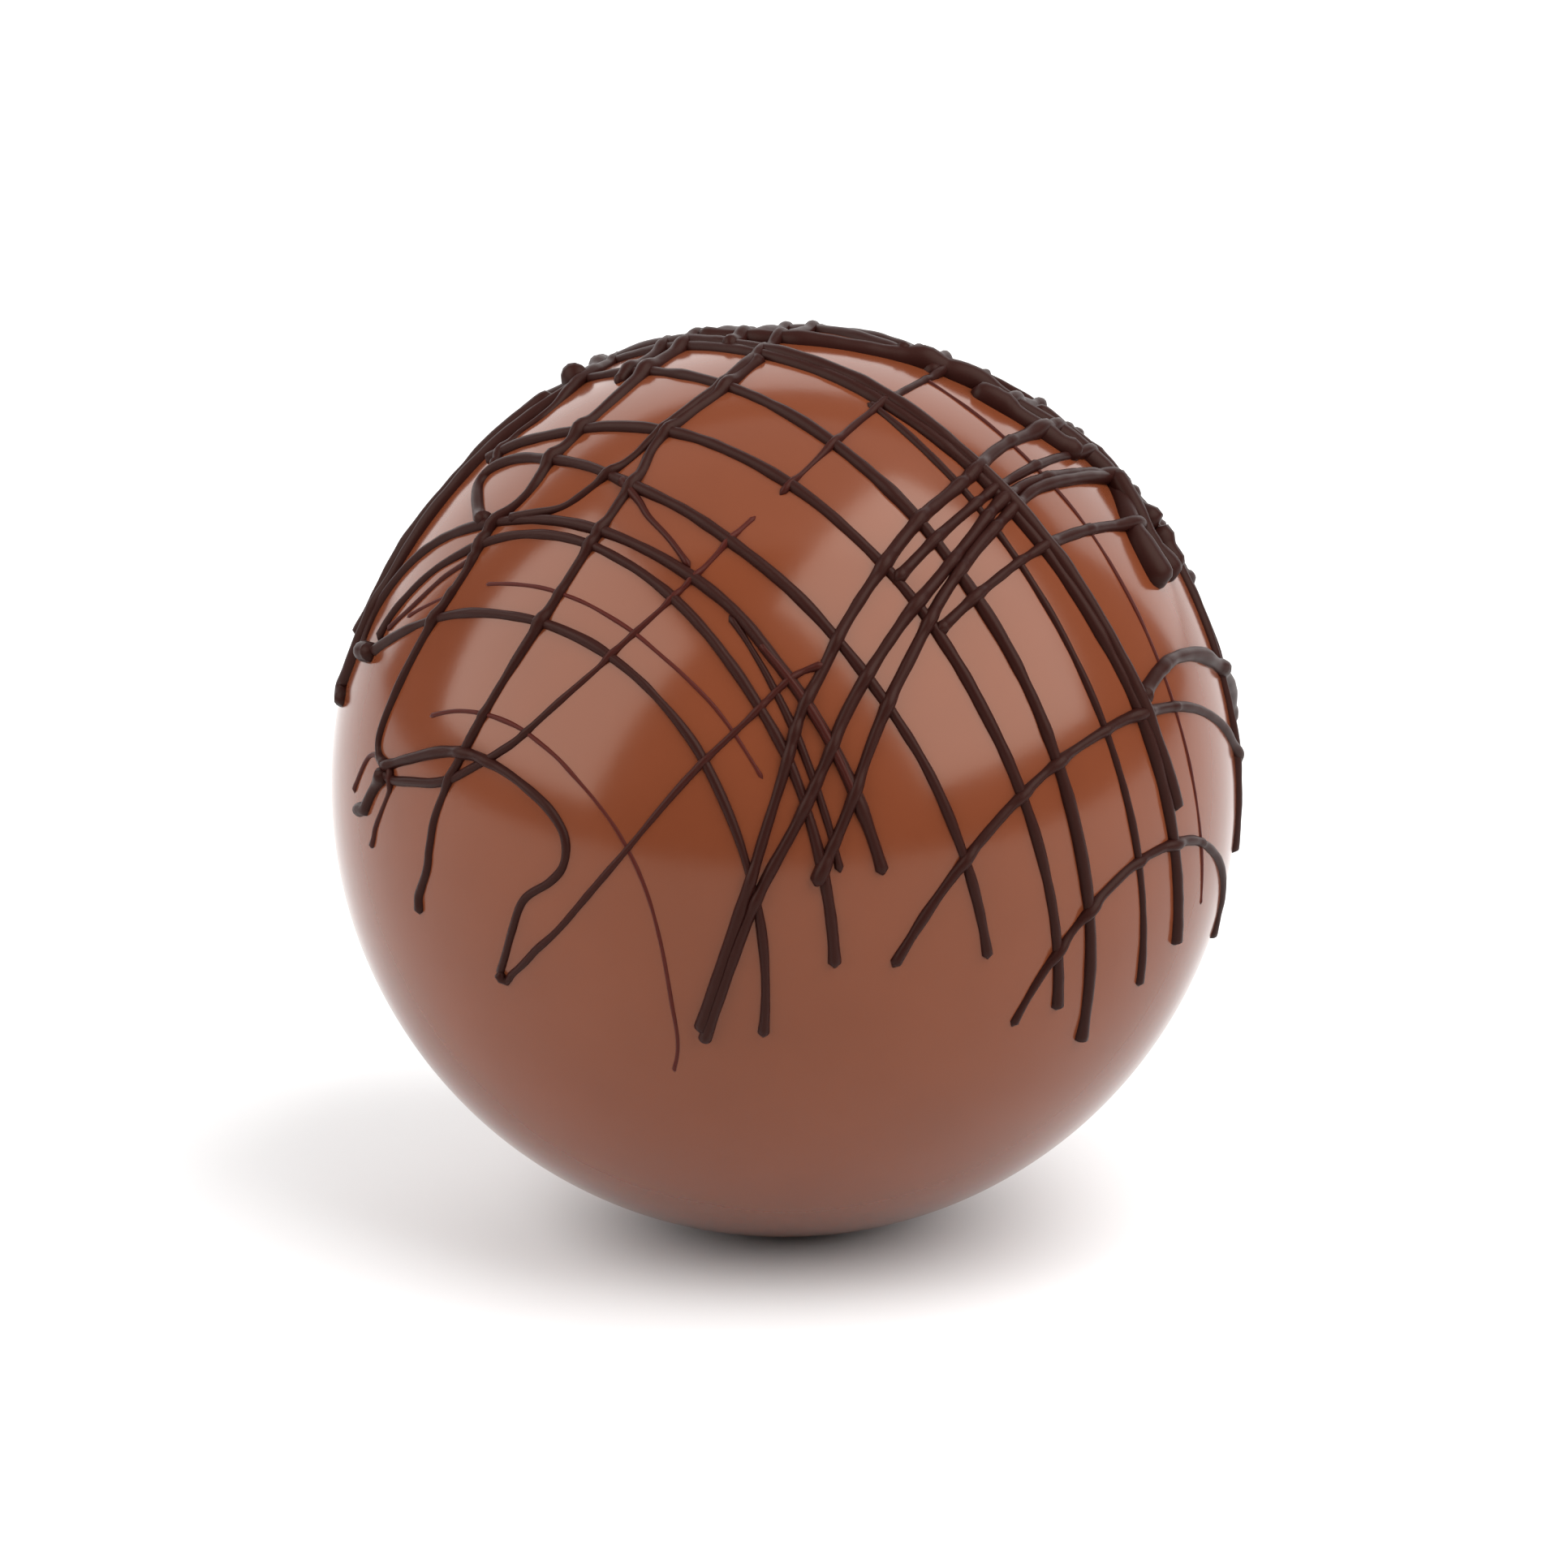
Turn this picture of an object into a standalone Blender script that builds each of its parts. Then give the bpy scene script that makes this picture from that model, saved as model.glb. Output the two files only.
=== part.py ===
import bmesh
import bpy
import random
from math import asin, cos, hypot, pi, radians, sin, sqrt
from mathutils import Matrix, Vector

# Round ball of chocolate, standing on a small flat at the bottom
BALL_RADIUS = 0.032
FLAT_RADIUS = 0.0055
BALL_SEGMENTS = 40
BALL_RINGS = 20

# The drizzle was poured straight down on the upper half, and the ball then lies over by the tilt
POUR_HEADING = radians(30)
POUR_TILT = radians(29.5)
POUR_TURN = radians(20)

# A strand is an oval bead half sunk into the ball, so that it stands about two thirds of its width high
BEAD_RISE = 0.72
BEAD_SUNK = 0.00012
BEAD_SIDES = 5
BEAD_TURN = Matrix.Rotation(pi / BEAD_SIDES, 4, "Z")
CROSSING_LIFT = 0.00012
TIP_LENGTH = 0.0004
TIP_SIZE = 0.5
SWELL = 0.10
SEED = 4

# Rings of a strand lie a run step apart, and down to a turn step where it turns by more than the limit
RUN_STEP = 0.0042
TURN_STEP = 0.0011
TURN_LIMIT = radians(20)

MM = 0.001

# Passes in the plane of the pour, in mm from the middle of the drizzled half:
# across and along at one end, across and along at the other, bow at the middle, width
LENGTHWISE = (
    (-16.9, -1.0, -19.7, -18.0, -0.1, 0.60),
    (-1.2, 31.6, -3.6, -31.6, 0.2, 0.98),
    (3.6, 6.0, 2.0, -31.4, -0.5, 0.65),
    (14.5, 26.0, 12.6, 6.4, 0.2, 1.10),
    (17.0, 25.0, 14.4, 2.5, -0.3, 1.15),
    (25.4, 19.0, 25.6, -18.6, 0.8, 0.90),
)
CROSSWISE = (
    (-3.2, 21.8, 17.0, 25.6, -0.2, 0.95),
    (3.4, 18.0, 16.0, 20.4, 0.3, 0.90),
    (11.6, 9.4, 29.8, 12.0, 0.4, 0.95),
    (13.6, 1.6, 30.0, 4.4, 0.3, 0.95),
    (-7.2, -7.1, 30.8, -2.0, 0.4, 0.75),
    (-7.0, -11.5, 30.2, -10.6, 1.0, 0.80),
    (-18.0, -23.6, 22.6, -22.4, 1.2, 0.80),
    (-10.0, -29.6, 16.0, -27.8, 0.8, 0.75),
)
# Strands that wander: width at one end, at the other, then the places that they run through
WANDERING_LENGTHWISE = (
    (0.72, 0.70, ((-22.2, 22.2), (-22.6, 20.3), (-22.75, 17.5), (-22.75, 13.0), (-22.7, 7.0),
                  (-22.8, 1.0), (-23.1, -5.0), (-23.6, -10.0), (-24.1, -14.0), (-24.8, -19.5))),
    (0.75, 0.80, ((-21.8, 22.4), (-20.8, 22.5), (-19.6, 21.4), (-19.0, 20.0), (-18.4, 18.4),
                  (-17.9, 16.0), (-17.7, 12.5), (-17.9, 8.0), (-18.25, 3.0), (-18.65, -1.5), (-19.15, -6.0),
                  (-19.6, -11.0), (-20.4, -16.0), (-21.2, -21.0))),
    (0.80, 0.95, ((-21.9, 22.7), (-21.1, 23.6), (-20.2, 24.4), (-18.8, 24.9), (-17.8, 24.3), (-17.3, 22.9),
                  (-17.15, 20.5), (-17.0, 17.8), (-16.7, 14.0), (-16.55, 8.0), (-16.5, 0.0), (-16.8, -6.0),
                  (-17.0, -12.0), (-17.4, -20.0))),
    (0.95, 0.82, ((-17.0, 19.8), (-16.4, 21.0), (-14.8, 22.6), (-13.2, 23.8), (-12.0, 23.9),
                  (-11.6, 22.4), (-12.0, 19.6), (-12.4, 16.0), (-13.0, 12.0), (-13.1, 6.0), (-13.1, 0.0),
                  (-13.0, -6.0), (-12.7, -13.0), (-12.3, -20.0), (-11.8, -27.0))),
    (0.95, 0.88, ((-10.6, 25.4), (-9.9, 23.8), (-9.7, 22.4), (-9.3, 20.4), (-8.5, 17.6), (-7.7, 12.0),
                  (-7.1, 3.0), (-6.95, -6.0), (-6.9, -18.0), (-6.3, -30.5))),
    (1.10, 1.00, ((3.2, 31.6), (3.35, 24.0), (3.5, 17.5), (3.85, 13.0), (4.25, 9.0), (4.5, 5.0),
                  (4.75, 1.0),
                  (4.9, -3.0), (5.0, -7.0), (5.3, -12.0), (5.5, -17.0), (5.9, -22.0), (6.3, -30.6))),
    (1.15, 1.00, ((4.1, 30.5), (4.05, 24.0), (4.15, 17.5), (4.5, 13.0), (4.9, 9.0), (5.15, 5.0), (5.4, 1.0),
                  (5.45, -3.0), (5.5, -7.0), (5.8, -12.0), (6.05, -17.0), (6.5, -22.0), (7.1, -26.5))),
    (1.50, 2.05, ((5.2, 21.5), (6.6, 18.0), (8.3, 14.8), (10.6, 11.2), (12.8, 8.2), (14.5, 5.0),
                  (16.1, 2.2), (17.6, -0.8), (18.8, -3.2), (19.2, -5.2), (18.3, -7.4), (16.5, -10.0),
                  (15.8, -12.4), (15.6, -14.6))),
    (1.00, 0.90, ((19.5, 24.5), (20.4, 14.0), (21.3, 6.0), (21.9, 0.0), (22.0, -6.0), (21.6, -12.0),
                  (20.8, -17.0), (19.6, -25.0))),
)
WANDERING_CROSSWISE = (
    (1.15, 1.35, ((-22.0, 23.4), (-21.3, 24.05), (-20.5, 24.5), (-19.8, 24.8), (-18.9, 25.1),
                  (-17.1, 25.6), (-15.0, 26.0), (-12.7, 26.2), (-10.3, 26.3), (-7.9, 26.1), (-5.4, 25.7),
                  (-2.9, 25.3), (0.0, 26.1), (5.0, 27.6), (10.0, 28.4))),
    (1.10, 1.20, ((-19.4, 25.3), (-17.8, 26.1), (-15.6, 26.7), (-13.0, 27.0), (-10.4, 27.0),
                  (-8.0, 26.8), (-5.5, 26.3), (-3.6, 25.8))),
    (1.10, 1.20, ((-22.3, 22.0), (-22.0, 22.5), (-21.4, 23.3))),
    (1.60, 1.80, ((-2.3, 25.4), (-0.8, 26.0))),
    (1.60, 1.80, ((20.3, -9.6), (20.1, -12.8))),
    (1.60, 1.80, ((13.4, 4.0), (14.2, 1.8), (14.9, 0.0), (15.8, -2.0), (16.8, -4.0))),
    (1.30, 1.60, ((18.6, 2.0), (19.9, -1.4), (20.3, -4.6), (20.2, -7.4), (19.9, -9.8))),
    (1.10, 1.70, ((18.9, -5.6), (18.2, -7.6), (17.8, -9.4), (17.8, -11.2), (18.1, -12.8), (18.5, -13.6))),
    (0.60, 0.90, ((-11.8, 24.0), (-10.0, 24.7), (-8.3, 25.0), (-6.8, 24.6), (-4.5, 24.8), (-1.5, 25.3),
                  (4.0, 26.4), (10.0, 27.6))),
    (0.70, 1.30, ((-28.2, 14.4), (-27.5, 15.8), (-26.7, 16.8), (-25.6, 17.3), (-23.6, 17.8),
                  (-20.5, 18.2), (-18.7, 18.8), (-17.3, 19.2), (-15.6, 18.8), (-14.2, 18.9),
                  (-12.0, 19.5), (-10.3, 19.6), (-8.0, 19.9),
                  (-4.9, 20.2), (-2.5, 20.6), (2.3, 21.3), (12.0, 22.4), (22.0, 23.6))),
    (0.70, 0.90, ((-32.6, 6.5), (-31.9, 6.6), (-31.2, 6.9), (-30.8, 7.6), (-30.1, 8.4), (-28.6, 8.8),
                  (-25.0, 9.4), (-22.0, 9.9), (-18.0, 10.9), (-14.5, 11.8), (-12.0, 12.4), (-9.4, 13.5),
                  (-6.0, 13.9), (-2.0, 14.1), (3.2, 15.1))),
    (0.60, 0.90, ((-17.0, 18.2), (-16.5, 16.6), (-16.0, 15.5), (-15.2, 14.9), (-13.4, 14.5),
                  (-11.0, 14.1), (-8.0, 14.2), (-5.0, 14.2), (-1.0, 14.6), (3.0, 15.4), (12.0, 17.7),
                  (20.0, 19.4))),
    (0.50, 0.80, ((-8.3, 3.3), (-4.0, 3.9), (2.0, 4.9), (10.0, 6.1), (20.0, 7.6), (30.0, 9.0))),
    (0.85, 0.95, ((-27.4, -16.0), (-25.0, -14.5), (-22.5, -12.8), (-20.0, -11.2), (-17.5, -9.5),
                  (-15.0, -8.5), (-12.2, -7.3), (-8.0, -6.05), (-2.0, -4.4), (4.0, -3.5), (10.0, -1.9),
                  (18.0, -0.8), (31.0, 0.9))),
    (0.80, 1.00, ((-27.2, -16.5), (-24.2, -14.9), (-21.0, -14.0), (-18.0, -12.9), (-15.5, -11.7),
                  (-12.0, -10.5), (-8.0, -9.4), (-4.0, -8.55), (0.0, -7.55), (4.0, -6.35), (8.0, -5.6),
                  (12.0, -5.5), (18.0, -5.6), (30.4, -7.0))),
    (0.85, 0.85, ((-21.2, -17.3), (-18.0, -15.9), (-15.4, -14.4), (-12.0, -12.7), (-8.0, -11.1),
                  (-5.0, -9.9), (-2.0, -8.9), (0.0, -8.3), (2.0, -7.8), (4.0, -7.3), (6.0, -6.8),
                  (8.0, -6.3), (10.0, -6.1), (15.0, -5.9), (20.0, -5.7))),
    (0.85, 0.60, ((-28.1, 14.8), (-28.35, 13.6), (-28.55, 12.0), (-28.65, 8.5), (-28.95, 4.0),
                  (-29.2, 0.0), (-29.45, -1.8), (-30.0, -2.7), (-30.6, -2.4), (-31.25, -1.3),
                  (-31.7, -1.5), (-31.95, -1.85))),
    (0.60, 0.50, ((-31.95, -1.8), (-31.9, -2.6), (-31.6, -3.6), (-30.6, -4.9), (-28.0, -6.0),
                  (-24.0, -6.55),
                  (-20.0, -7.1), (-16.6, -7.35), (-14.6, -8.3))),
    (1.05, 1.35, ((6.4, -21.1), (9.4, -20.0), (12.4, -19.2), (16.4, -18.6), (21.6, -18.2), (27.8, -16.8))),
)


def main_material(name, color, roughness):
    mat = bpy.data.materials.new(name)
    mat.use_nodes = True
    shader = mat.node_tree.nodes["Principled BSDF"]
    shader.inputs["Base Color"].default_value = (*color, 1.0)
    shader.inputs["Roughness"].default_value = roughness
    return mat


def drape(across, along, depth):
    """Place on the ball under a point of the pour plane; past the rim it runs on down the side."""
    reach = hypot(across, along)
    if reach < 1e-9:
        return POUR @ Vector((0.0, 0.0, BALL_RADIUS - depth))
    lean = asin(reach / BALL_RADIUS) if reach < BALL_RADIUS else pi / 2 + (reach - BALL_RADIUS) / BALL_RADIUS
    flat = Vector((across, along, 0.0)) / reach
    return POUR @ ((BALL_RADIUS - depth) * (sin(lean) * flat + cos(lean) * Vector((0.0, 0.0, 1.0))))


def stations(points):
    """Places for the rings of a strand, with how far along it each lies, from 0 to 1."""
    total = sum((b - a).length for a, b in zip(points, points[1:]))
    out, walked, last = [(points[0], 0.0)], 0.0, 0.0
    heading = points[1] - points[0]
    for a, b in zip(points, points[1:]):
        walked += (b - a).length
        gone = walked - last
        if gone >= RUN_STEP or (gone >= TURN_STEP and heading.angle(b - a) > TURN_LIMIT):
            out.append((b, walked / total))
            last, heading = walked, b - a
    if total - last < TURN_STEP and len(out) > 1:
        out.pop()
    return out + [(points[-1], 1.0)]


def bowed(x0, y0, x1, y1, bow):
    """Straight pass with a gentle bow, in the pour plane."""
    start, end = Vector((x0, y0)), Vector((x1, y1))
    side = Vector((abs(end.y - start.y), abs(end.x - start.x))).normalized()
    return [start.lerp(end, k / 80) + side * bow * 4 * (k / 80) * (1 - k / 80) for k in range(81)]


def through(knots):
    """Smooth line through the given places."""
    pts = [Vector(p) for p in knots]
    pts = [2 * pts[0] - pts[1]] + pts + [2 * pts[-1] - pts[-2]]
    out = []
    for a, b, c, d in zip(pts, pts[1:], pts[2:], pts[3:]):
        for k in range(12):
            t = k / 12
            out.append(0.5 * (2 * b + (c - a) * t + (2 * a - 5 * b + 4 * c - d) * t * t
                              + (3 * b - a - 3 * c + d) * t * t * t))
    return out + [pts[-2]]


def strand(name, line, widths, lift, rng, group):
    """One strand of drizzle: an oval bead laid along the line, thinning to a rounded tip."""
    rings = stations([drape(p.x * MM, p.y * MM, BEAD_SUNK - lift) for p in line])
    first = (rings[0][0] - rings[1][0]).normalized() * TIP_LENGTH
    last = (rings[-1][0] - rings[-2][0]).normalized() * TIP_LENGTH
    rings = [(rings[0][0] + first, 0.0)] + rings + [(rings[-1][0] + last, 1.0)]
    bm = bmesh.new()
    before = None
    for k, (place, share) in enumerate(rings):
        ahead = (rings[min(k + 1, len(rings) - 1)][0] - rings[max(k - 1, 0)][0]).normalized()
        up = (place - ahead * place.dot(ahead)).normalized()
        turn = Matrix((up.cross(ahead), up, ahead)).transposed().to_4x4()
        width = (widths[0] + (widths[1] - widths[0]) * share) * MM
        size = TIP_SIZE if k in (0, len(rings) - 1) else 1 + rng.uniform(-SWELL, SWELL)
        oval = Matrix.Diagonal((width / 2 * size, width * BEAD_RISE * size, 1.0, 1.0))
        ring = bmesh.ops.create_circle(bm, segments=BEAD_SIDES, radius=1.0,
                                       matrix=Matrix.Translation(place) @ turn @ oval @ BEAD_TURN)
        edges = list({e for v in ring["verts"] for e in v.link_edges})
        if before:
            bmesh.ops.bridge_loops(bm, edges=before + edges)
        before = edges
    bmesh.ops.holes_fill(bm, edges=bm.edges)
    bmesh.ops.recalc_face_normals(bm, faces=bm.faces)
    mesh = bpy.data.meshes.new(name)
    bm.to_mesh(mesh)
    bm.free()
    obj = bpy.data.objects.new(name, mesh)
    group.objects.link(obj)
    return obj


for old in list(bpy.data.objects):
    bpy.data.objects.remove(old)

flat_height = -sqrt(BALL_RADIUS ** 2 - FLAT_RADIUS ** 2)
POUR = (Matrix.Rotation(POUR_HEADING, 3, "Z") @ Matrix.Rotation(POUR_TILT, 3, "X")
        @ Matrix.Rotation(POUR_TURN, 3, "Z"))

# Ball, with its flat cut straight across
bm = bmesh.new()
bmesh.ops.create_uvsphere(bm, u_segments=BALL_SEGMENTS, v_segments=BALL_RINGS, radius=BALL_RADIUS)
cut = bmesh.ops.bisect_plane(bm, geom=bm.verts[:] + bm.edges[:] + bm.faces[:], dist=1e-6,
                             plane_co=(0, 0, flat_height), plane_no=(0, 0, -1), clear_outer=True)
rim = [e for e in cut["geom_cut"] if isinstance(e, bmesh.types.BMEdge)]
bmesh.ops.contextual_create(bm, geom=rim)
bmesh.ops.recalc_face_normals(bm, faces=bm.faces)
mesh = bpy.data.meshes.new("drizzled_sphere")
bm.to_mesh(mesh)
bm.free()
ball = bpy.data.objects.new("drizzled_sphere", mesh)
bpy.context.scene.collection.objects.link(ball)
ball.data.materials.append(main_material("milk_chocolate", (0.22, 0.09, 0.045), 0.35))

# Drizzle
rng = random.Random(SEED)
drizzle = bpy.data.collections.new("drizzle")
bpy.context.scene.collection.children.link(drizzle)
for k, (x0, y0, x1, y1, bow, width) in enumerate(LENGTHWISE):
    strand("lengthwise_%02d" % k, bowed(x0, y0, x1, y1, bow), (width, width), 0.0, rng, drizzle)
for k, (x0, y0, x1, y1, bow, width) in enumerate(CROSSWISE):
    strand("crosswise_%02d" % k, bowed(x0, y0, x1, y1, bow), (width, width), CROSSING_LIFT, rng, drizzle)
for k, (start_width, end_width, knots) in enumerate(WANDERING_LENGTHWISE + WANDERING_CROSSWISE):
    strand("wandering_%02d" % k, through(knots), (start_width, end_width), CROSSING_LIFT / 2, rng, drizzle)

# The drizzle sets fast to the ball, so ball and strands are one solid
fuse = ball.modifiers.new("fuse", "BOOLEAN")
fuse.operation = "UNION"
fuse.operand_type = "COLLECTION"
fuse.collection = drizzle
fuse.solver = "MANIFOLD"
bpy.context.view_layer.update()
fused = bpy.data.meshes.new_from_object(ball.evaluated_get(bpy.context.evaluated_depsgraph_get()))
ball.modifiers.clear()
ball.data = fused
for obj in list(drizzle.objects):
    bpy.data.objects.remove(obj)
bpy.data.collections.remove(drizzle)

bm = bmesh.new()
bm.from_mesh(ball.data)
flat = min(bm.faces, key=lambda f: f.calc_center_median().z)
bmesh.ops.triangulate(bm, faces=[f for f in bm.faces if f is not flat])
bmesh.ops.dissolve_degenerate(bm, edges=bm.edges, dist=0.000001)
bmesh.ops.translate(bm, verts=bm.verts, vec=(0, 0, -flat_height))
bm.to_mesh(ball.data)
bm.free()
ball.data.name = "drizzled_sphere"
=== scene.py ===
import bmesh
import bpy
from math import asin, cos, exp, hypot, pi, radians, sin, sqrt
from mathutils import Matrix, Vector, noise
from mathutils.kdtree import KDTree


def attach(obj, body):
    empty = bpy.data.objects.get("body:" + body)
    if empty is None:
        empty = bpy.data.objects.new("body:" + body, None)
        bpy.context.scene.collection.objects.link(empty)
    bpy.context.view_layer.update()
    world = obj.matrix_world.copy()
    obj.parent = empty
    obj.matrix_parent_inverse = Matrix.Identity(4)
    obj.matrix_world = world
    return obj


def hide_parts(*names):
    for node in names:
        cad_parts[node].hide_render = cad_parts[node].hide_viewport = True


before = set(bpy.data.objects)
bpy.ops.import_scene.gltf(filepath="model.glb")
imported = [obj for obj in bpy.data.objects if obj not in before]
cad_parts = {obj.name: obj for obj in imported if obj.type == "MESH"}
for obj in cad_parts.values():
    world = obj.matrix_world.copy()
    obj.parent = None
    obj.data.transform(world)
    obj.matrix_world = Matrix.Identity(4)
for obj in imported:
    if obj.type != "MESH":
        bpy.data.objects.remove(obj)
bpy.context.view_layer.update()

mm = 0.001


# Helpers that every piece uses

def finishPiece(bm, name, material):
    bmesh.ops.recalc_face_normals(bm, faces=bm.faces)
    for face in bm.faces:
        face.smooth = len(face.verts) <= 4      # the standing flat and the strands' end caps stay flat
    mesh = bpy.data.meshes.new(name)
    bm.to_mesh(mesh)
    bm.free()
    mesh.materials.append(material)
    piece = bpy.data.objects.new(name, mesh)
    bpy.context.scene.collection.objects.link(piece)
    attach(piece, "root")
    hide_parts("drizzled_sphere")
    return piece


seedGap = 7.31      # keeps the ripples of two seeds apart


def ripples(along, seed, waves):
    # Seeded waves along a strand, each about -0.5 to 0.5 times its share, and the same each run
    return sum(noise.noise(Vector((along / size, (seed + shift) * seedGap, 0.0))) * share
               for shift, size, share in waves)


# Ball

ball = {
    "radius": 0.032,
    "flatRadius": 0.0055,        # small flat it stands on
    "segments": 384,
    "rings": 192,
    "waver": 0.000018,           # the shell is not a perfect mirror ball
    "waverSize": 0.013,
    "cutDist": 1e-7,             # how near a corner counts as on the flat
}
ball["middle"] = sqrt(ball["radius"] ** 2 - ball["flatRadius"] ** 2)   # height of its centre

# The drizzle was poured straight down, then the ball was set over to one side
pour = {"heading": radians(30), "tilt": radians(29.5), "turn": radians(20)}
pourTurn = (Matrix.Rotation(pour["heading"], 3, "Z") @ Matrix.Rotation(pour["tilt"], 3, "X")
            @ Matrix.Rotation(pour["turn"], 3, "Z"))


def makeBall(material):
    bm = bmesh.new()
    bmesh.ops.create_uvsphere(bm, u_segments=ball["segments"], v_segments=ball["rings"],
                              radius=ball["radius"])
    for vert in bm.verts:
        swing = noise.noise(vert.co / ball["waverSize"]) * 2      # about -1 to 1
        vert.co += vert.co.normalized() * swing * ball["waver"]
    cut = bmesh.ops.bisect_plane(bm, geom=bm.verts[:] + bm.edges[:] + bm.faces[:], dist=ball["cutDist"],
                                 plane_co=(0, 0, -ball["middle"]), plane_no=(0, 0, -1), clear_outer=True)
    rim = [edge for edge in cut["geom_cut"] if isinstance(edge, bmesh.types.BMEdge)]
    bmesh.ops.contextual_create(bm, geom=rim)
    bmesh.ops.translate(bm, verts=bm.verts, vec=(0, 0, ball["middle"]))
    return finishPiece(bm, "chocolateBall", material)


# Drizzle

drizzle = {
    "rise": 0.60,                # height of a strand's oval against its width
    "sunk": 0.00010,             # its middle line lies this far under the ball's surface
    "step": 0.00040,             # from ring to ring along it
    "sides": 14,
    "fewestRings": 4,
    "bowSteps": 200,             # points on a straight strand before it is draped
    "knotSteps": 16,             # points from knot to knot on a wandering one
    "sway": 0.05,                # sideways wander, in mm
    "swayWaves": ((0, 7.0, 2.0), (0.5, 2.6, 0.6)),         # shift of seed, length in mm, share
    "swell": 0.24,               # change of thickness along a strand
    "swellWaves": ((20, 5.0, 1.0), (40, 1.7, 0.5)),
    "sag": 0.55,                 # how much of a strand below lifts the one on top
    "lookUnder": 2.2,            # strands below are looked for this far around, in mm
    "saddle": 0.75,              # how soon the lift dies away beside one, in its widths
    "node": 0.16,                # thicker where it lies on another
    "nodeLift": 0.3,             # a lift of this share of its width makes it fully so
    "bulb": 0.18,                # thicker at its ends
    "bulbLength": 1.6,           # in widths
    "tipLeast": 0.05,            # keeps the end ring of a round tip open
}

# In mm from the middle of the drizzled half: across and along at one end, then at the other, bow, width
lengthwise = (
    (-16.9, -1.0, -19.7, -18.0, -0.1, 0.60),
    (-1.2, 31.6, -3.6, -31.6, 0.2, 0.98),
    (3.6, 6.0, 2.0, -31.4, -0.5, 0.65),
    (14.5, 26.0, 12.6, 6.4, 0.2, 1.10),
    (17.0, 25.0, 14.4, 2.5, -0.3, 1.15),
    (25.4, 19.0, 25.6, -18.6, 0.8, 0.90),
)
crosswise = (
    (-3.2, 21.8, 17.0, 25.6, -0.2, 0.95),
    (3.4, 18.0, 16.0, 20.4, 0.3, 0.90),
    (11.6, 9.4, 29.8, 12.0, 0.4, 0.95),
    (13.6, 1.6, 30.0, 4.4, 0.3, 0.95),
    (-7.2, -7.1, 30.8, -2.0, 0.4, 0.75),
    (-7.0, -11.5, 30.2, -10.6, 1.0, 0.80),
    (-18.0, -23.6, 22.6, -22.4, 1.2, 0.80),
    (-10.0, -29.6, 16.0, -27.8, 0.8, 0.75),
)
# Strands that wander: width at one end, at the other, then the places they run through
wanderingLengthwise = (
    (0.72, 0.70, ((-22.2, 22.2), (-22.6, 20.3), (-22.75, 17.5), (-22.75, 13.0), (-22.7, 7.0),
                  (-22.8, 1.0), (-23.1, -5.0), (-23.6, -10.0), (-24.1, -14.0), (-24.8, -19.5))),
    (0.75, 0.80, ((-21.8, 22.4), (-20.8, 22.5), (-19.6, 21.4), (-19.0, 20.0), (-18.4, 18.4),
                  (-17.9, 16.0), (-17.7, 12.5), (-17.9, 8.0), (-18.25, 3.0), (-18.65, -1.5), (-19.15, -6.0),
                  (-19.6, -11.0), (-20.4, -16.0), (-21.2, -21.0))),
    (0.80, 0.95, ((-21.9, 22.7), (-21.1, 23.6), (-20.2, 24.4), (-18.8, 24.9), (-17.8, 24.3), (-17.3, 22.9),
                  (-17.15, 20.5), (-17.0, 17.8), (-16.7, 14.0), (-16.55, 8.0), (-16.5, 0.0), (-16.8, -6.0),
                  (-17.0, -12.0), (-17.4, -20.0))),
    (0.95, 0.82, ((-17.0, 19.8), (-16.4, 21.0), (-14.8, 22.6), (-13.2, 23.8), (-12.0, 23.9),
                  (-11.6, 22.4), (-12.0, 19.6), (-12.4, 16.0), (-13.0, 12.0), (-13.1, 6.0), (-13.1, 0.0),
                  (-13.0, -6.0), (-12.7, -13.0), (-12.3, -20.0), (-11.8, -27.0))),
    (0.95, 0.88, ((-10.6, 25.4), (-9.9, 23.8), (-9.7, 22.4), (-9.3, 20.4), (-8.5, 17.6), (-7.7, 12.0),
                  (-7.1, 3.0), (-6.95, -6.0), (-6.9, -18.0), (-6.3, -30.5))),
    # Twin band
    (1.10, 1.00, ((3.2, 31.6), (3.35, 24.0), (3.5, 17.5), (3.85, 13.0), (4.25, 9.0), (4.5, 5.0),
                  (4.75, 1.0), (4.9, -3.0), (5.0, -7.0), (5.3, -12.0), (5.5, -17.0), (5.9, -22.0),
                  (6.3, -30.6))),
    (1.15, 1.00, ((4.1, 30.5), (4.05, 24.0), (4.15, 17.5), (4.5, 13.0), (4.9, 9.0), (5.15, 5.0), (5.4, 1.0),
                  (5.45, -3.0), (5.5, -7.0), (5.8, -12.0), (6.05, -17.0), (6.5, -22.0), (7.1, -26.5))),
    # Heavy strand over the top
    (1.50, 2.05, ((5.2, 21.5), (6.6, 18.0), (8.3, 14.8), (10.6, 11.2), (12.8, 8.2), (14.5, 5.0),
                  (16.1, 2.2), (17.6, -0.8), (18.8, -3.2), (19.2, -5.2), (18.3, -7.4), (16.5, -10.0),
                  (15.8, -12.4), (15.6, -14.6))),
    (1.00, 0.90, ((19.5, 24.5), (20.4, 14.0), (21.3, 6.0), (21.9, 0.0), (22.0, -6.0), (21.6, -12.0),
                  (20.8, -17.0), (19.6, -25.0))),
)
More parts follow.
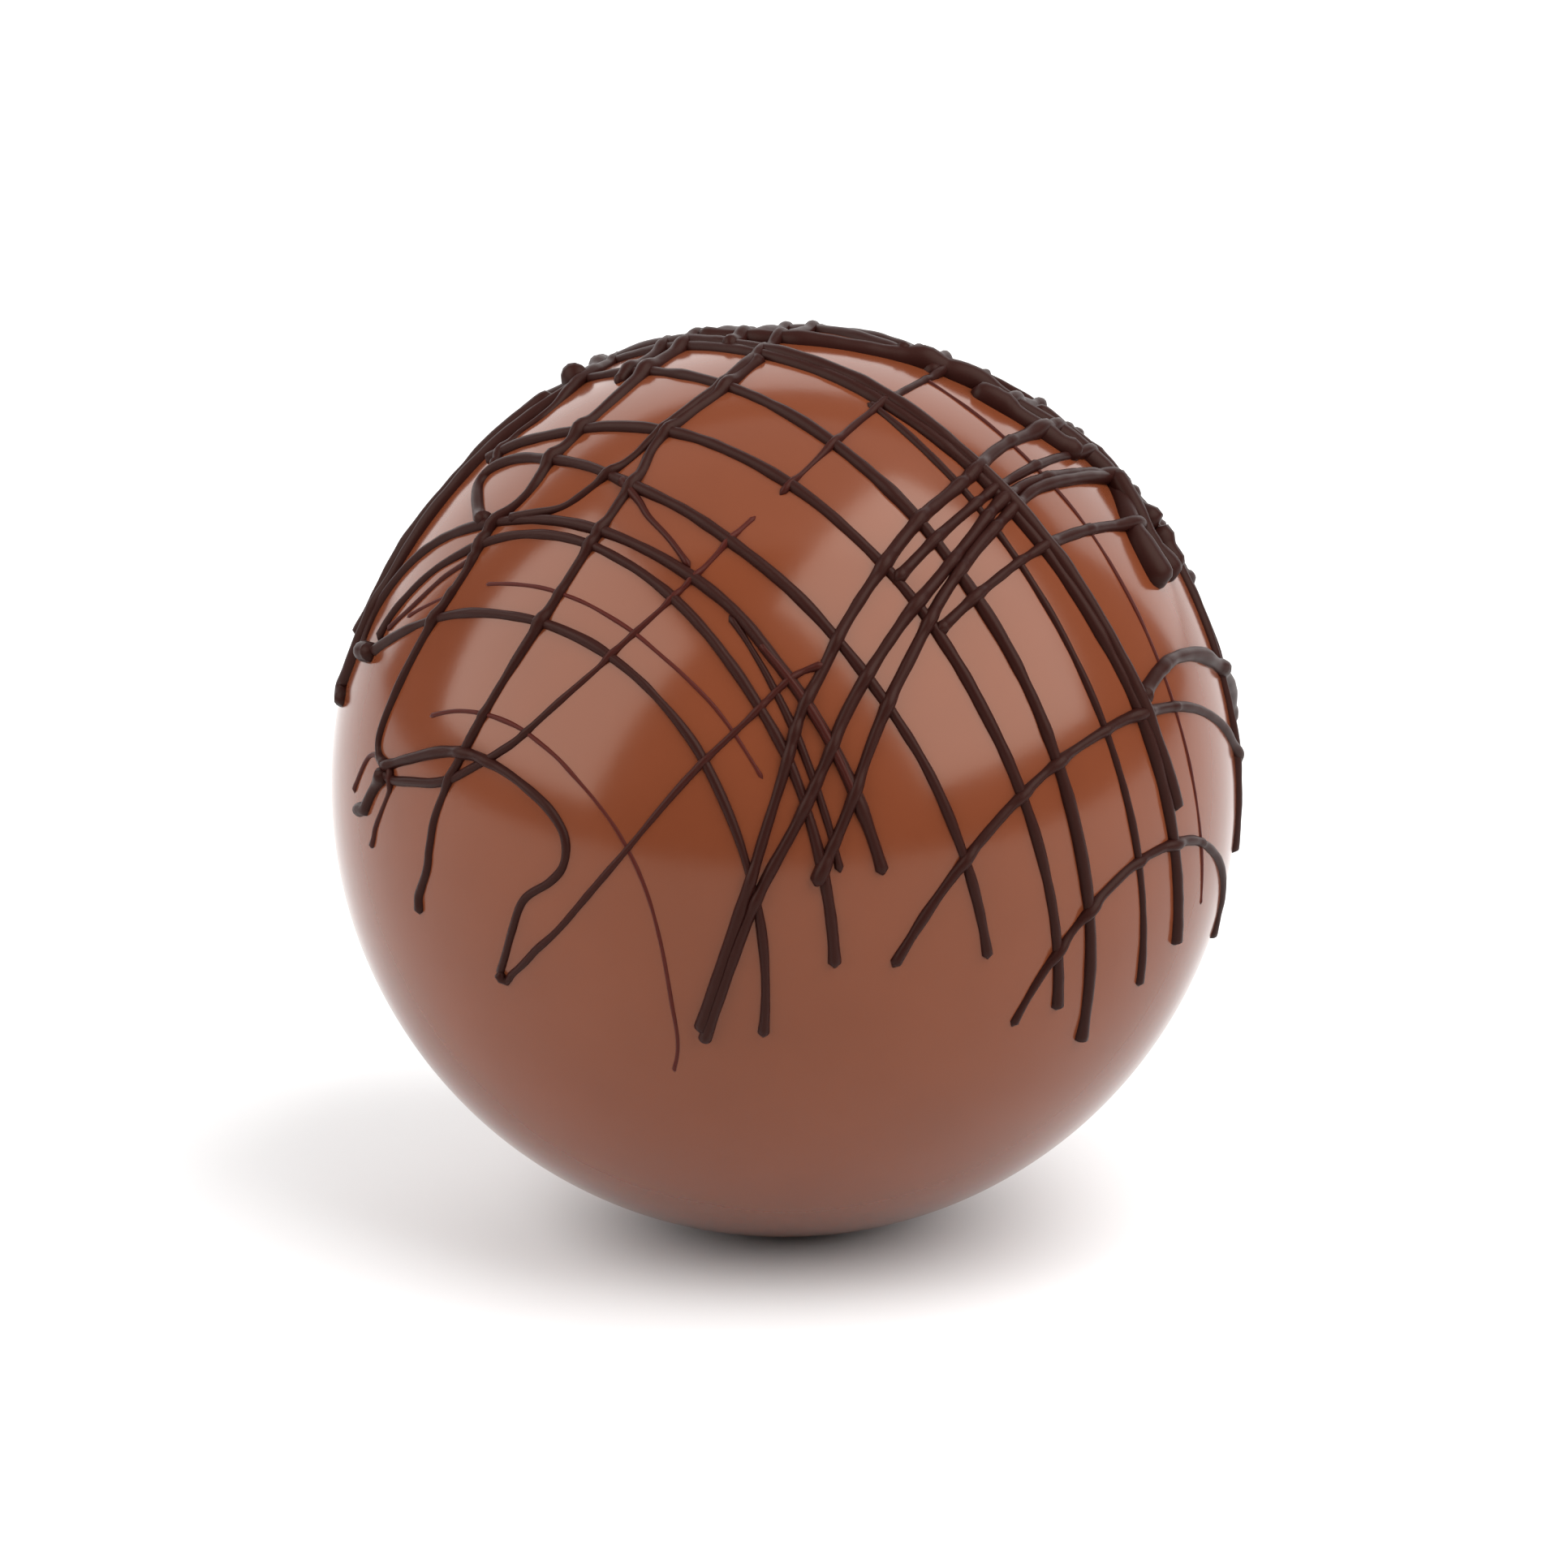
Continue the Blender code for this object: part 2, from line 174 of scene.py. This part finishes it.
wanderingCrosswise = (
    # Run along the top left edge, doubled, with the lumps where it begins and ends
    (1.15, 1.35, ((-22.0, 23.4), (-21.3, 24.05), (-20.5, 24.5), (-19.8, 24.8), (-18.9, 25.1),
                  (-17.1, 25.6), (-15.0, 26.0), (-12.7, 26.2), (-10.3, 26.3), (-7.9, 26.1), (-5.4, 25.7),
                  (-2.9, 25.3), (0.0, 26.1), (5.0, 27.6), (10.0, 28.4))),
    (1.10, 1.20, ((-19.4, 25.3), (-17.8, 26.1), (-15.6, 26.7), (-13.0, 27.0), (-10.4, 27.0),
                  (-8.0, 26.8), (-5.5, 26.3), (-3.6, 25.8))),
    (1.10, 1.20, ((-22.3, 22.0), (-22.0, 22.5), (-21.4, 23.3))),
    (1.60, 1.80, ((-2.3, 25.4), (-0.8, 26.0))),
    # Mass at the right edge, where several strands run together
    (1.60, 1.80, ((20.3, -9.6), (20.1, -12.8))),
    (1.60, 1.80, ((13.4, 4.0), (14.2, 1.8), (14.9, 0.0), (15.8, -2.0), (16.8, -4.0))),
    (1.30, 1.60, ((18.6, 2.0), (19.9, -1.4), (20.3, -4.6), (20.2, -7.4), (19.9, -9.8))),
    (1.10, 1.70, ((18.9, -5.6), (18.2, -7.6), (17.8, -9.4), (17.8, -11.2), (18.1, -12.8), (18.5, -13.6))),
    # Long runs across
    (0.60, 0.90, ((-11.8, 24.0), (-10.0, 24.7), (-8.3, 25.0), (-6.8, 24.6), (-4.5, 24.8), (-1.5, 25.3),
                  (4.0, 26.4), (10.0, 27.6))),
    (0.70, 1.30, ((-28.2, 14.4), (-27.5, 15.8), (-26.7, 16.8), (-25.6, 17.3), (-23.6, 17.8),
                  (-20.5, 18.2), (-18.7, 18.8), (-17.3, 19.2), (-15.6, 18.8), (-14.2, 18.9),
                  (-12.0, 19.5), (-10.3, 19.6), (-8.0, 19.9), (-4.9, 20.2), (-2.5, 20.6), (2.3, 21.3),
                  (12.0, 22.4), (22.0, 23.6))),
    (0.70, 0.90, ((-32.6, 6.5), (-31.9, 6.6), (-31.2, 6.9), (-30.8, 7.6), (-30.1, 8.4), (-28.6, 8.8),
                  (-25.0, 9.4), (-22.0, 9.9), (-18.0, 10.9), (-14.5, 11.8), (-12.0, 12.4), (-9.4, 13.5),
                  (-6.0, 13.9), (-2.0, 14.1), (3.2, 15.1))),
    (0.60, 0.90, ((-17.0, 18.2), (-16.5, 16.6), (-16.0, 15.5), (-15.2, 14.9), (-13.4, 14.5),
                  (-11.0, 14.1), (-8.0, 14.2), (-5.0, 14.2), (-1.0, 14.6), (3.0, 15.4), (12.0, 17.7),
                  (20.0, 19.4))),
    (0.50, 0.80, ((-8.3, 3.3), (-4.0, 3.9), (2.0, 4.9), (10.0, 6.1), (20.0, 7.6), (30.0, 9.0))),
    (0.85, 0.95, ((-27.4, -16.0), (-25.0, -14.5), (-22.5, -12.8), (-20.0, -11.2), (-17.5, -9.5),
                  (-15.0, -8.5), (-12.2, -7.3), (-8.0, -6.05), (-2.0, -4.4), (4.0, -3.5), (10.0, -1.9),
                  (18.0, -0.8), (31.0, 0.9))),
    (0.80, 1.00, ((-27.2, -16.5), (-24.2, -14.9), (-21.0, -14.0), (-18.0, -12.9), (-15.5, -11.7),
                  (-12.0, -10.5), (-8.0, -9.4), (-4.0, -8.55), (0.0, -7.55), (4.0, -6.35), (8.0, -5.6),
                  (12.0, -5.5), (18.0, -5.6), (30.4, -7.0))),
    (0.85, 0.85, ((-21.2, -17.3), (-18.0, -15.9), (-15.4, -14.4), (-12.0, -12.7), (-8.0, -11.1),
                  (-5.0, -9.9), (-2.0, -8.9), (0.0, -8.3), (2.0, -7.8), (4.0, -7.3), (6.0, -6.8),
                  (8.0, -6.3), (10.0, -6.1), (15.0, -5.9), (20.0, -5.7))),
    # Hook at the left and its way back
    (0.85, 0.60, ((-28.1, 14.8), (-28.35, 13.6), (-28.55, 12.0), (-28.65, 8.5), (-28.95, 4.0),
                  (-29.2, 0.0), (-29.45, -1.8), (-30.0, -2.7), (-30.6, -2.4), (-31.25, -1.3),
                  (-31.7, -1.5), (-31.95, -1.85))),
    (0.60, 0.50, ((-31.95, -1.8), (-31.9, -2.6), (-31.6, -3.6), (-30.6, -4.9), (-28.0, -6.0),
                  (-24.0, -6.55), (-20.0, -7.1), (-16.6, -7.35), (-14.6, -8.3))),
    # Arch low on the right
    (1.05, 1.35, ((6.4, -21.1), (9.4, -20.0), (12.4, -19.2), (16.4, -18.6), (21.6, -18.2), (27.8, -16.8))),
)
# Threads and tails too fine for the solid, written the same way
threads = (
    (0.38, 0.34, ((-27.25, 13.2), (-27.2, 10.5), (-27.3, 7.0), (-27.5, 3.5), (-27.8, -1.0), (-28.1, -6.0),
                  (-28.4, -11.0), (-28.4, -13.5), (-28.0, -15.6))),
    (0.36, 0.34, ((-21.2, 16.0), (-21.0, 11.0), (-20.95, 5.0), (-21.15, 0.0), (-21.1, -5.0),
                  (-21.3, -10.6))),
    (0.80, 0.34, ((-28.1, 14.8), (-28.75, 13.2), (-29.2, 11.5), (-29.45, 9.8), (-29.4, 8.5), (-29.0, 7.3),
                  (-28.4, 6.2), (-27.3, 5.2), (-24.0, 3.9), (-22.0, 3.5), (-19.0, 3.05), (-16.0, 2.9),
                  (-13.0, 3.1), (-10.6, 3.2))),
    (0.55, 0.48, ((-12.8, 13.2), (-13.2, 12.4), (-13.9, 10.6), (-14.6, 9.0), (-15.4, 6.0), (-16.1, 3.7))),
    (0.45, 0.40, ((-27.8, 17.5), (-27.3, 17.4), (-27.0, 17.1), (-27.1, 16.7), (-27.4, 16.1), (-27.8, 15.3),
                  (-28.2, 14.6))),
    (0.55, 0.50, ((-28.1, 14.5), (-28.7, 13.5), (-29.1, 13.3), (-29.9, 13.4), (-30.8, 13.8))),
    (0.80, 0.85, ((-28.3, 14.3), (-28.3, 15.3), (-28.8, 16.6))),
    (0.45, 0.50, ((-21.7, 22.0), (-21.3, 20.8), (-20.3, 19.8), (-19.5, 18.6))),
    (0.34, 0.34, ((-21.8, 20.8), (-21.7, 19.4), (-21.5, 18.1))),
    (0.50, 0.50, ((-16.9, -4.0), (-17.0, -10.0), (-17.3, -16.0))),
    (0.42, 0.36, ((10.6, 6.4), (10.7, 1.0), (10.9, -5.0), (11.0, -10.0), (10.6, -16.0), (10.2, -23.0),
                  (10.0, -29.4))),
)


def drape(across, along, height):
    # A place on the pour plane brought down onto the ball; past the rim it runs on down the side
    reach = hypot(across, along)
    radius = ball["radius"]
    lean = asin(reach / radius) if reach < radius else pi / 2 + (reach - radius) / radius
    flat = Vector((across, along, 0.0)) / max(reach, 1e-9)
    return pourTurn @ ((radius + height) * (sin(lean) * flat + cos(lean) * Vector((0.0, 0.0, 1.0))))


def bowed(x0, y0, x1, y1, bow):
    start, end = Vector((x0, y0)), Vector((x1, y1))
    side = Vector((abs(end.y - start.y), abs(end.x - start.x))).normalized()
    line = []
    for k in range(drizzle["bowSteps"] + 1):
        t = k / drizzle["bowSteps"]
        line.append(start.lerp(end, t) + side * bow * 4 * t * (1 - t))      # full bow at the middle
    return line


def through(knots):
    # Catmull-Rom curve, with a made-up knot before the first and after the last
    pts = [Vector(knot) for knot in knots]
    pts = [2 * pts[0] - pts[1]] + pts + [2 * pts[-1] - pts[-2]]
    line = []
    for a, b, c, d in zip(pts, pts[1:], pts[2:], pts[3:]):
        for k in range(drizzle["knotSteps"]):
            t = k / drizzle["knotSteps"]
            line.append(0.5 * (2 * b + (c - a) * t + (2 * a - 5 * b + 4 * c - d) * t * t
                               + (3 * b - a - 3 * c + d) * t * t * t))
    return line + [pts[-2]]


def spaced(points, step):
    total = sum((b - a).length for a, b in zip(points, points[1:]))
    count = max(drizzle["fewestRings"], round(total / step))
    out, walked, k = [points[0]], 0.0, 1
    for a, b in zip(points, points[1:]):
        span = (b - a).length
        while k < count and walked + span >= total * k / count:
            out.append(a.lerp(b, (total * k / count - walked) / span))
            k += 1
        walked += span
    return out + [points[-1]]


laid = []     # every place that already has chocolate on it, with its width in mm


def liftsOver(places):
    # How far each place rises over the strands that already lie there
    tree = KDTree(max(len(laid), 1))
    for k, (place, _) in enumerate(laid):
        tree.insert(place, k)
    tree.balance()
    lifts = []
    for place in places:
        lift = 0.0
        for _, index, away in tree.find_range(place, drizzle["lookUnder"] * mm) if laid else ():
            under = laid[index][1] * mm
            top = under * drizzle["rise"] * drizzle["sag"]
            lift = max(lift, top * exp(-(away / (under * drizzle["saddle"])) ** 2))
        lifts.append(lift)
    return lifts


def ringSize(along, toTip, width, lift, seed):
    size = 1 + drizzle["swell"] * ripples(along, seed, drizzle["swellWaves"])
    size *= 1 + drizzle["node"] * min(1.0, lift / (drizzle["nodeLift"] * width * mm))
    size *= 1 + drizzle["bulb"] * exp(-(toTip / (drizzle["bulbLength"] * width)) ** 2)
    if toTip < width / 2:
        size *= sqrt(max(drizzle["tipLeast"], 1 - (1 - 2 * toTip / width) ** 2))
    return size * (width * mm)


def layStrand(bm, thickness, line, widths, seed):
    swayed = []
    for k, spot in enumerate(line):
        ahead = (line[min(k + 1, len(line) - 1)] - line[max(k - 1, 0)]).normalized()
        walk = (spot - line[0]).length
        sway = drizzle["sway"] * ripples(walk, seed, drizzle["swayWaves"])
        swayed.append(spot + Vector((-ahead.y, ahead.x)) * sway)
    places = spaced([drape(spot.x * mm, spot.y * mm, -drizzle["sunk"]) for spot in swayed], drizzle["step"])
    last = len(places) - 1
    widths = [widths[0] + (widths[1] - widths[0]) * k / last for k in range(last + 1)]
    lifts = liftsOver(places)
    laid.extend(zip(places, widths))
    places = [place + place.normalized() * lift for place, lift in zip(places, lifts)]
    before = None
    for k, (place, width, lift) in enumerate(zip(places, widths, lifts)):
        along = k * drizzle["step"] / mm
        toTip = min(along, last * drizzle["step"] / mm - along)
        size = ringSize(along, toTip, width, lift, seed)
        ahead = (places[min(k + 1, last)] - places[max(k - 1, 0)]).normalized()
        up = (place - ahead * place.dot(ahead)).normalized()
        turn = Matrix((up.cross(ahead), up, ahead)).transposed().to_4x4()
        oval = Matrix.Diagonal((size / 2, size * drizzle["rise"], 1.0, 1.0))
        ring = bmesh.ops.create_circle(bm, segments=drizzle["sides"], radius=1.0, cap_ends=k in (0, last),
                                       matrix=Matrix.Translation(place) @ turn @ oval)
        for vert in ring["verts"]:
            vert[thickness] = width
        edges = list({edge for vert in ring["verts"] for edge in vert.link_edges})
        if before:
            bmesh.ops.bridge_loops(bm, edges=before + edges)
        before = edges


def makeDrizzle(name, runs, firstSeed, material):
    whole = bmesh.new()
    whole.verts.layers.float.new("thickness")
    for k, (line, widths) in enumerate(runs):
        bm = bmesh.new()
        thickness = bm.verts.layers.float.new("thickness")
        layStrand(bm, thickness, line, widths, firstSeed + k)
        mesh = bpy.data.meshes.new("strand")
        bmesh.ops.recalc_face_normals(bm, faces=bm.faces)
        bm.to_mesh(mesh)
        bm.free()
        whole.from_mesh(mesh)
        bpy.data.meshes.remove(mesh)
    bmesh.ops.translate(whole, verts=whole.verts, vec=(0, 0, ball["middle"]))
    return finishPiece(whole, name, material)


def straightRuns(table):
    return [(bowed(*run[:5]), (run[5], run[5])) for run in table]


def wanderingRuns(table):
    return [(through(knots), (startWidth, endWidth)) for startWidth, endWidth, knots in table]


# Materials

glossTint = (1.0, 0.84, 0.72, 1)      # the gloss of both chocolates is a little warm


def newMaterial(name):
    material = bpy.data.materials.new(name)
    material.use_nodes = True
    return material, material.node_tree.nodes, material.node_tree.links


def grainOf(nodes, links, scale, detail):
    place = nodes.new("ShaderNodeTexCoord")
    grain = nodes.new("ShaderNodeTexNoise")
    grain.inputs["Scale"].default_value = scale
    grain.inputs["Detail"].default_value = detail
    links.new(place.outputs["Object"], grain.inputs["Vector"])
    return grain.outputs["Fac"]


def varyGloss(nodes, links, source, roughness):
    gloss = nodes.new("ShaderNodeMapRange")
    gloss.inputs["To Min"].default_value, gloss.inputs["To Max"].default_value = roughness
    links.new(source, gloss.inputs["Value"])
    links.new(gloss.outputs["Result"], nodes["Principled BSDF"].inputs["Roughness"])


def addBump(nodes, links, source, strength, depth):
    bump = nodes.new("ShaderNodeBump")
    bump.inputs["Strength"].default_value = strength
    bump.inputs["Distance"].default_value = depth
    links.new(source, bump.inputs["Height"])
    links.new(bump.outputs["Normal"], nodes["Principled BSDF"].inputs["Normal"])


milk = {
    "ior": 1.42,
    "tones": ((0.3, (0.136, 0.0335, 0.0125, 1)), (0.7, (0.150, 0.0380, 0.0148, 1))),
    "cloudScale": 90,                 # slow change of tone and gloss over the shell
    "cloudDetail": 3,
    "roughness": (0.13, 0.18),
    "grainScale": 900,                # fine skin of the chocolate
    "grainDetail": 4,
    "bump": 0.05,
    "bumpDepth": 0.0001,
}


def milkChocolate():
    material, nodes, links = newMaterial("milkChocolate")
    shader = nodes["Principled BSDF"]
    shader.inputs["IOR"].default_value = milk["ior"]
    shader.inputs["Specular Tint"].default_value = glossTint
    clouds = grainOf(nodes, links, milk["cloudScale"], milk["cloudDetail"])
    ramp = nodes.new("ShaderNodeValToRGB")
    for stop, (position, tone) in zip(ramp.color_ramp.elements, milk["tones"]):
        stop.position, stop.color = position, tone
    links.new(clouds, ramp.inputs["Fac"])
    links.new(ramp.outputs["Color"], shader.inputs["Base Color"])
    varyGloss(nodes, links, clouds, milk["roughness"])
    grain = grainOf(nodes, links, milk["grainScale"], milk["grainDetail"])
    addBump(nodes, links, grain, milk["bump"], milk["bumpDepth"])
    return material


dark = {
    "ior": 1.45,
    "glossLevel": 0.12,
    "thinWidth": 0.36,                # thin threads let the red through; widths in mm
    "thickWidth": 0.60,
    "tones": ((0.056, 0.0088, 0.0062, 1), (0.022, 0.0053, 0.0040, 1)),      # thin, thick
    "roughness": (0.34, 0.48),
    "grainScale": 700,
    "grainDetail": 3,
    "bump": 0.15,
    "bumpDepth": 0.0001,
}


def darkChocolate():
    material, nodes, links = newMaterial("darkChocolate")
    shader = nodes["Principled BSDF"]
    shader.inputs["IOR"].default_value = dark["ior"]
    shader.inputs["Specular IOR Level"].default_value = dark["glossLevel"]
    shader.inputs["Specular Tint"].default_value = glossTint
    width = nodes.new("ShaderNodeAttribute")
    width.attribute_name = "thickness"
    share = nodes.new("ShaderNodeMapRange")
    share.inputs["From Min"].default_value = dark["thinWidth"]
    share.inputs["From Max"].default_value = dark["thickWidth"]
    ramp = nodes.new("ShaderNodeValToRGB")
    for stop, tone in zip(ramp.color_ramp.elements, dark["tones"]):
        stop.color = tone
    links.new(width.outputs["Fac"], share.inputs["Value"])
    links.new(share.outputs["Result"], ramp.inputs["Fac"])
    links.new(ramp.outputs["Color"], shader.inputs["Base Color"])
    grain = grainOf(nodes, links, dark["grainScale"], dark["grainDetail"])
    varyGloss(nodes, links, grain, dark["roughness"])
    addBump(nodes, links, grain, dark["bump"], dark["bumpDepth"])
    return material


# Build

firstSeeds = {"lengthwise": 1, "threads": 31, "crosswise": 51}      # each strand takes the next number
chocolate = milkChocolate()
drizzled = darkChocolate()
makeBall(chocolate)
print("ball made")
makeDrizzle("drizzleLengthwise", straightRuns(lengthwise) + wanderingRuns(wanderingLengthwise),
            firstSeeds["lengthwise"], drizzled)
print("lengthwise drizzle laid")
makeDrizzle("drizzleThreads", wanderingRuns(threads), firstSeeds["threads"], drizzled)
print("threads laid")
makeDrizzle("drizzleCrosswise", straightRuns(crosswise) + wanderingRuns(wanderingCrosswise),
            firstSeeds["crosswise"], drizzled)
print("crosswise drizzle laid")

# Stage

stage = {
    "elevation": radians(18),
    "distance": 2.4,
    "lens": 780,
    "clipStart": 0.01,
    "floor": (0.80, 0.80, 0.80, 1),
    "floorRoughness": 0.6,
    "floorSize": 6.0,            # from the middle to an edge
    "world": 0.15,
}
# Name, azimuth and elevation in degrees, distance, width, height, glow
softBoxes = (
    ("leftBox", -76, 33, 0.9, 0.96, 0.84, 3.7),
    ("rightBox", 64, 47, 0.9, 1.0, 1.15, 4.5),
    ("backBox", 180, 21, 1.2, 2.7, 0.95, 1.8),
    ("topBox", 180, 78, 1.1, 1.4, 0.9, 0.6),
)
scene = bpy.context.scene
scene.view_settings.view_transform = "Standard"

paleFloor, nodes, _ = newMaterial("paleFloor")
nodes["Principled BSDF"].inputs["Base Color"].default_value = stage["floor"]
nodes["Principled BSDF"].inputs["Roughness"].default_value = stage["floorRoughness"]
bm = bmesh.new()
bmesh.ops.create_grid(bm, x_segments=1, y_segments=1, size=stage["floorSize"])
mesh = bpy.data.meshes.new("floor")
bm.to_mesh(mesh)
bm.free()
mesh.materials.append(paleFloor)
floor = bpy.data.objects.new("floor", mesh)
scene.collection.objects.link(floor)

world = bpy.data.worlds.new("studio")
world.use_nodes = True
world.node_tree.nodes["Background"].inputs["Color"].default_value = (1, 1, 1, 1)
world.node_tree.nodes["Background"].inputs["Strength"].default_value = stage["world"]
scene.world = world


def softBox(name, azimuth, elevation, distance, width, height, glow):
    # Azimuth 0 is the camera's side, and it grows to the camera's right
    light = bpy.data.lights.new(name, "AREA")
    light.shape = "RECTANGLE"
    light.size, light.size_y = width, height
    light.energy = glow * pi * width * height      # glow is how bright its face looks
    lamp = bpy.data.objects.new(name, light)
    scene.collection.objects.link(lamp)
    a, e = radians(azimuth), radians(elevation)
    aim = Vector((sin(a) * cos(e), -cos(a) * cos(e), sin(e)))
    lamp.location = aim * distance + Vector((0, 0, ball["middle"]))
    lamp.rotation_euler = aim.to_track_quat("Z", "Y").to_euler()


for box in softBoxes:
    softBox(*box)

camera = bpy.data.objects.new("camera", bpy.data.cameras.new("camera"))
scene.collection.objects.link(camera)
camera.data.lens = stage["lens"]
camera.data.clip_start = stage["clipStart"]
aim = Vector((0, -cos(stage["elevation"]), sin(stage["elevation"])))
camera.location = aim * stage["distance"] + Vector((0, 0, ball["middle"]))
camera.rotation_euler = aim.to_track_quat("Z", "Y").to_euler()
scene.camera = camera
print("stage set")
